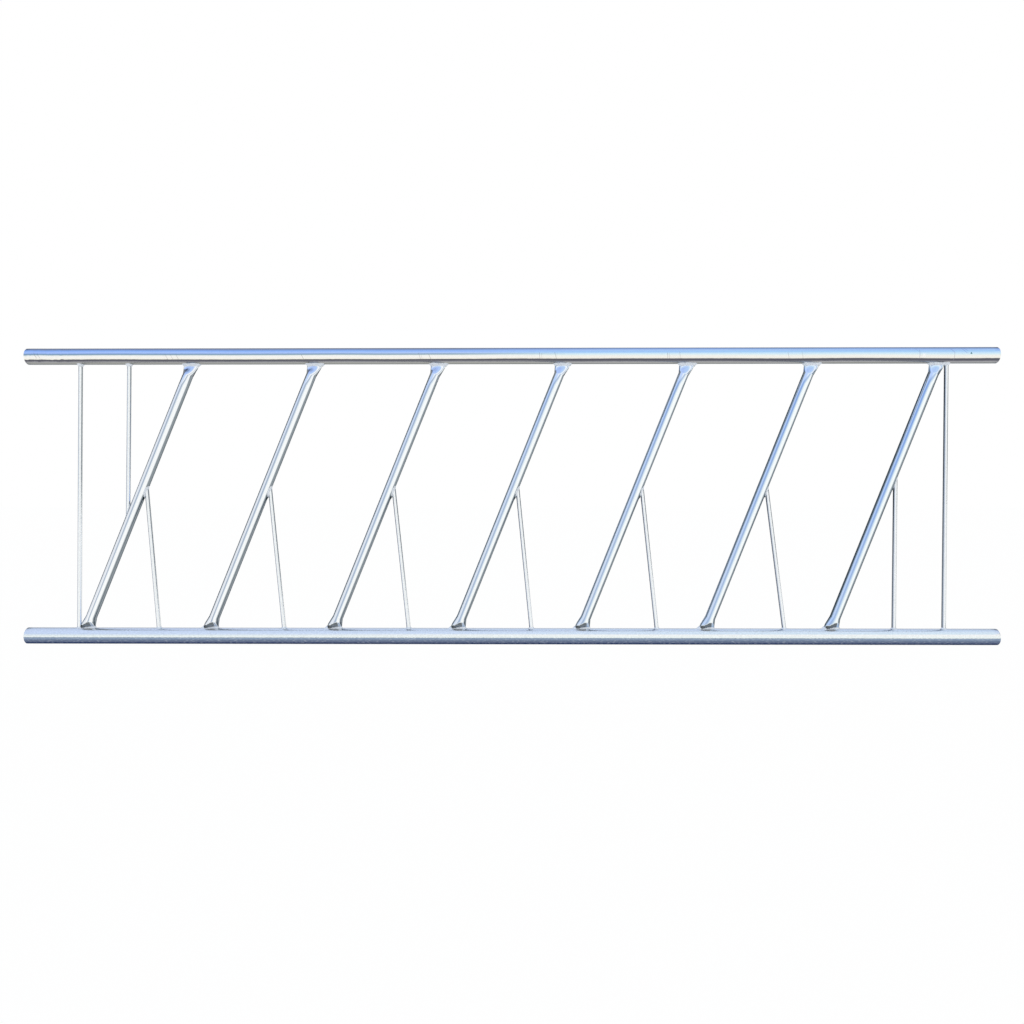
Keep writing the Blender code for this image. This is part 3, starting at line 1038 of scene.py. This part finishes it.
@dataclass
class Rods:
    """The round rods that close the narrow places, and the beads round their ends."""

    layout: Layout
    workshop: Workshop
    left_inset: float = 0.1620
    left_run: float = 0.0043
    right_inset: float = 0.1637
    right_run: float = 0.0090
    corner_head: float = 0.3212
    corner_join: float = 0.349
    brace_spacings: tuple[float, ...] = (0.228, 0.234, 0.237, 0.233, 0.236, 0.245, 0.197)
    brace_joins: tuple[float, ...] = (0.491, 0.491, 0.491, 0.491, 0.491, 0.491, 0.530)
    sides: int = 32
    ring_spacing: float = 0.006
    most_rings: int = 60
    buried: float = 0.0015
    tolerance: float = 1e-5
    along_least: float = 0.9
    square_most: float = 0.5
    # How far a bead reaches out from the rod and along it.
    head_legs: tuple[float, float] = (0.0050, 0.0075)
    foot_legs: tuple[float, float] = (0.0030, 0.0042)
    flank_legs: tuple[float, float] = (0.0048, 0.0065)
    flank_uneven: float = -0.6
    flank_crotch: float = 0.0012
    grain_spacing: float = 0.006
    grain_depth: float = 0.00016
    waves: int = 9
    bead_sides: int = 64
    # How much shade is painted down the rods' left sides.
    edge_value: float = 0.7
    seed: float = field(default=20.0, init=False)

    def build(self) -> None:
        """Model the end rods, the corner rod and the braces."""
        layout = self.layout
        rise = UP * layout.rail_spacing
        left = ALONG * self.left_inset
        right = ALONG * (layout.length - self.right_inset)
        for name, foot, run in (("left", left, self.left_run), ("right", right, self.right_run)):
            self.rod(f"{name}_end_rod", foot, rise + foot + ALONG * run, layout.bottom_rail, layout.top_rail)
        join = layout.axis_point(0, self.corner_join)
        self.rod("corner_rod", join, rise + ALONG * self.corner_head, layout.slant(0), layout.top_rail)
        for i, (spacing, height) in enumerate(zip(self.brace_spacings, self.brace_joins)):
            join = layout.axis_point(i, height)
            stand = layout.axis_point(i, layout.rail_radius) + ALONG * spacing
            foot = stand + (stand - join) * (layout.rail_radius / (join.z - stand.z))
            self.rod(f"brace_rod_{i + 1}", foot, join, layout.bottom_rail, layout.slant(i))

    def rod(self, node: str, foot: Vector, head: Vector, foot_on: Tube, head_on: Tube) -> None:
        """Model one rod with its two beads.

        Args:
            node: CAD node that the rod stands for.
            foot: Where its axis meets the lower tube's.
            head: Where its axis meets the upper tube's.
            foot_on: The lower tube.
            head_on: The upper tube.
        """
        heading = (head - foot).normalized()
        low = head - heading * (foot_on.distance(head, -heading) + self.sunk(heading, foot_on))
        high = foot + heading * (head_on.distance(foot, heading) + self.sunk(heading, head_on))
        obj = open_cylinder(node, self.layout.rod_radius, low, high, self.sides)
        length = (high - low).length
        for cuts in (2, int(length / self.ring_spacing) // 3):
            with editing(obj, lambda a, b: abs((a - b).normalized().dot(heading)) > self.along_least):
                bpy.ops.mesh.subdivide(number_cuts=min(cuts, self.most_rings))
        middle, half, near = (low + high) / 2, length / 2, self.tolerance
        with editing(
            obj, lambda a, b: abs(abs((a - middle).dot(heading)) - half) < near > abs((a - b).dot(heading))
        ):
            bpy.ops.mesh.edge_face_add()
        ripple(obj, self.grain_spacing, self.grain_depth)
        self.workshop.dress(obj, ROD_ZINC)
        smooth(obj, degrees=50)
        self.workshop.hand_over(obj, node, ROD_ZINC, self.facing)
        self.bead(node, "foot", head, -heading, foot_on)
        self.bead(node, "head", foot, heading, head_on)

    def facing(self, place: Vector, normal: Vector) -> float:
        """Measure how much shade to paint on a rod at a corner, from 0 up, on its left side only."""
        return self.edge_value * max(-normal.x, 0) ** 3

    def sunk(self, heading: Vector, tube: Tube) -> float:
        """Find how far a rod runs on into a tube's wall so that its whole end is buried.

        Args:
            heading: Direction of the rod.
            tube: The tube that it meets.

        Returns:
            The distance past the point where its axis meets the wall.
        """
        slope = abs(heading.dot(tube.along))
        slant = self.layout.rod_radius * slope / math.sqrt(1 - slope * slope)
        return slant + self.buried

    def bead(self, rod: str, end: str, start: Vector, heading: Vector, tube: Tube) -> None:
        """Lay the bead round one end of a rod.

        Args:
            rod: CAD node of the rod.
            end: Which end, foot or head.
            start: Point of the rod's axis away from this end.
            heading: Direction from there to this end.
            tube: The tube that the end meets.
        """
        radius = self.layout.rod_radius
        self.seed += 1
        square = abs(heading.dot(tube.along)) < self.square_most
        legs, uneven, crotch = self.flank_legs, self.flank_uneven, self.flank_crotch
        if square:
            legs, uneven, crotch = self.head_legs if end == "head" else self.foot_legs, 0.0, 0.0
        bead = Bead(
            start, heading, radius, radius, tube, *legs, self.waves, self.seed, self.bead_sides,
            uneven=uneven, crotch=crotch,
        )
        bead.build(f"weld_{rod}_{end}", self.workshop)


@dataclass
class Studio:
    """A white floor and an even sky, blue overhead, that the zinc mirrors."""

    floor_size: float = 60.0
    floor_height: float = -0.0256
    floor_middle: float = 1.5
    floor_glow: float = 0.985
    sky_edge: tuple[float, float] = (33.6, 36.5)
    wall_change: tuple[float, float] = (12.0, 28.0)
    left_wall: Ramp = ((-180, "#FFFFFF"), (-144, "#FFFFFF"), (-140, "#6B777C"), (-103, "#727E86"))
    low_front: Ramp = ((-93, "#E6EBF2"), (-45, "#E9EEF5"), (-24, "#F8FBFD"), (-10, "#FFFFFF"))
    high_front: Ramp = ((-93, "#CBDDFA"), (-40, "#C2D8FA"), (-20, "#D4E4F9"), (-4, "#FFFFFF"))
    right_wall: Ramp = (
        (66, "#FFFFFF"), (74, "#7F868B"), (140, "#6F767B"), (144, "#FFFFFF"), (180, "#FFFFFF")
    )
    vault_left: Ramp = (
        (27, "#DCEFFC"), (41, "#D9ECFE"), (56, "#D0E2FE"), (72, "#CEE0FE"), (89, "#CCDDF8"), (109, "#CEE0F8"),
        (134, "#CADAF2"), (180, "#CADAF2"),
    )
    vault_right: Ramp = (
        (27, "#E3F8FA"), (42, "#DEF2FC"), (57, "#DAEFFE"), (73, "#E4F6FF"), (83, "#DCEEFF"), (90, "#D4E8FC"),
        (103, "#CCE0F8"), (135, "#CBDEF6"), (180, "#CBDEF6"),
    )
    vault_change: tuple[float, float] = (-0.35, 0.25)
    cloud_scale: float = 5.0
    cloud_colour: str = "#C2CAFF"

    def build(self) -> None:
        """Lay the floor and set the world."""
        self.lay_floor()
        self.set_world()

    def lay_floor(self) -> None:
        """Lay a pale floor that keeps a faint shadow.

        The floor shows white to the camera and in the metal alike, by its own colour.
        """
        bpy.ops.object.select_all(action="DESELECT")
        place = (self.floor_middle, 0, self.floor_height)
        bpy.ops.mesh.primitive_plane_add(size=self.floor_size, location=place)
        floor = bpy.context.object
        floor.name = "studio_floor"
        material = bpy.data.materials.new("white painted floor")
        tree = empty_tree(material)
        path = add_node(tree, "LightPath").outputs
        seen = path["Is Camera Ray"]
        for ray in ("Is Glossy Ray", "Is Transmission Ray"):
            seen = add_node(tree, "Math", {0: seen, 1: path[ray]}, operation="ADD", use_clamp=True)
        share = add_node(tree, "Math", {0: seen, 1: self.floor_glow}, operation="MULTIPLY")
        paint = add_node(tree, "BsdfDiffuse", {"Color": linear("#FFFCF4")})
        white = add_node(tree, "Emission", {"Color": linear("#FFFFFF"), "Strength": 1.0})
        mix = add_node(tree, "MixShader", {0: share, 1: paint, 2: white})
        add_node(tree, "OutputMaterial", {"Surface": mix})
        floor.data.materials.append(material)

    def set_world(self) -> None:
        """Set a sky: a blue vault over a low ring that is white in front and behind, with side walls."""
        world = bpy.data.worlds.new("studio sky")
        bpy.context.scene.world = world
        tree = empty_tree(world)
        direction = add_node(tree, "TexCoord").outputs["Generated"]
        x, y, z = add_node(tree, "SeparateXYZ", {0: direction}).outputs
        front = add_node(tree, "Math", {0: y, 1: -1.0}, operation="MULTIPLY")
        vault_edge, wall_edge = (
            [math.sin(math.radians(angle)) for angle in edge] for edge in (self.sky_edge, self.wall_change)
        )
        height, lift, side = (
            add_node(tree, "MapRange", {"Value": value, "From Min": low, "From Max": high})
            for value, (low, high) in ((z, vault_edge), (z, wall_edge), (x, self.vault_change))
        )
        fronts = (self.left_wall + stops + self.right_wall for stops in (self.low_front, self.high_front))
        walls = self.add_bands(tree, x, front, lift, -180, *fronts)
        vault = self.add_bands(tree, z, front, side, 0, self.vault_left, self.vault_right)
        clouds = add_node(tree, "TexNoise", {"Vector": direction, "Scale": self.cloud_scale, "Detail": 2.0})
        cloudy = add_node(
            tree, "MapRange", {"Value": clouds, "From Min": 0.48, "From Max": 0.66, "To Max": 0.45}
        )
        cloud = linear(self.cloud_colour)
        vault = add_node(tree, "Mix", {0: cloudy, 6: vault, 7: cloud}, data_type="RGBA").outputs[2]
        sky = add_node(tree, "Mix", {0: height, 6: walls, 7: vault}, data_type="RGBA").outputs[2]
        light = add_node(tree, "Background", {"Color": sky, "Strength": 1.0})
        add_node(tree, "OutputWorld", {"Surface": light})

    def add_bands(
        self, tree: Tree, away: Socket, front: Node, share: Node, start: float, *ramps: Ramp
    ) -> Socket:
        """Colour a direction in bands by its turn from the front, up and over or round to the right.

        Args:
            tree: The world's nodes.
            away: How far the direction points up, or to the right.
            front: How far it points to the front.
            share: How far the last ramp has taken over.
            start: Lowest turn, in degrees; the highest is 180.
            ramps: The first and the last ramp, by degrees.

        Returns:
            The bands' colour.
        """
        angle = add_node(tree, "Math", {0: away, 1: front}, operation="ARCTAN2")
        lowest = math.radians(start)
        turn = add_node(tree, "MapRange", {"Value": angle, "From Min": lowest, "From Max": math.pi})
        stops = (tuple(((at - start) / (180 - start), colour) for at, colour in ramp) for ramp in ramps)
        return blend_ramps(tree, turn, share, *stops)


@dataclass(frozen=True)
class PhotoCamera:
    """The photograph's level camera, opposite the panel's middle."""

    place: tuple[float, float, float] = (1.5517, -2.3946, 0.4413)
    yaw: float = math.radians(0.485)
    sensor: float = 36.0
    lens: float = 26.72
    shift: float = -0.01553

    def build(self) -> None:
        """Add the camera and make it the scene's."""
        bpy.ops.object.camera_add(location=self.place, rotation=(math.pi / 2, 0, self.yaw))
        camera = bpy.context.object
        camera.data.sensor_width = self.sensor
        camera.data.lens = self.lens
        camera.data.shift_y = self.shift
        bpy.context.scene.camera = camera


def main() -> None:
    """Build the panel's looks, the studio and the camera."""
    logging.basicConfig(level=logging.INFO, format="%(name)s: %(message)s")
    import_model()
    bpy.context.scene.view_settings.view_transform = "Standard"
    layout = Layout()
    workshop = Workshop()
    for part in (Rails, SlantBars, SlantWelds, Rods):
        part(layout, workshop).build()
    Studio().build()
    PhotoCamera().build()


if __name__ == "__main__":
    main()
